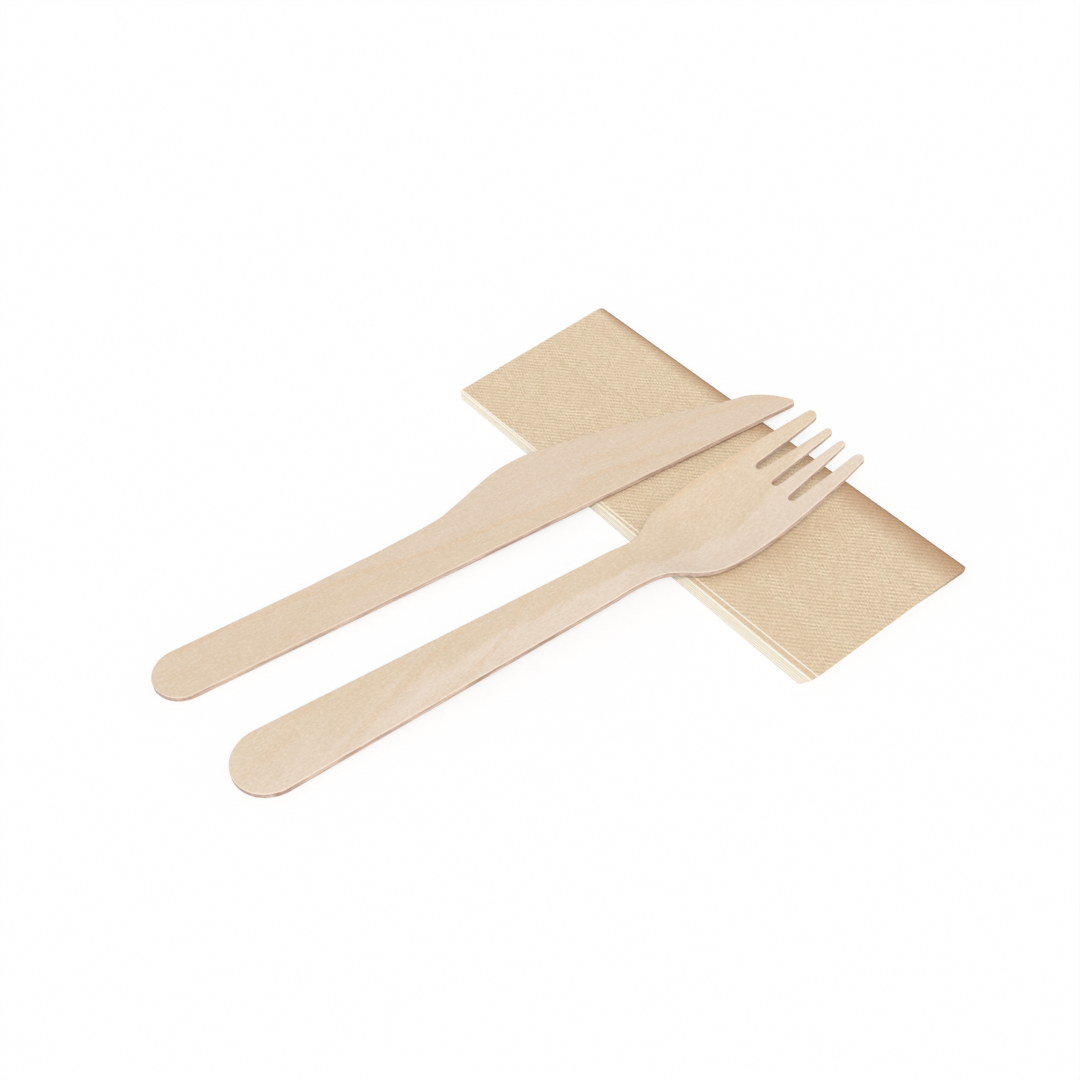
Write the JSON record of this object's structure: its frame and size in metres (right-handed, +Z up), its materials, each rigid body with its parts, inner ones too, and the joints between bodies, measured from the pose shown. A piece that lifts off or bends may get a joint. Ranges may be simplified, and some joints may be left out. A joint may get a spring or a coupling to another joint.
{
  "type": "cutlery set",
  "caption": "Disposable table set: a flat wooden knife and a dished wooden fork laid side by side across a folded, embossed paper napkin.",
  "frame": {"origin": "centre of the folded napkin's flat underside, on the surface that the set lies on", "axes": "+Z up, +X across the napkin from the handle ends to its folded edge, +Y along the napkin, to the side where the knife lies"},
  "size_m": [0.1632, 0.125, 0.0148],
  "materials": {
    "birch_veneer": "uncoated birch, smooth and matt",
    "kraft_paper": "unbleached tissue, embossed in fine rows"
  },
  "bodies": {
    "root": {"knife": "birch_veneer", "fork": "birch_veneer", "napkin": "kraft_paper"}
  },
  "joints": []
}
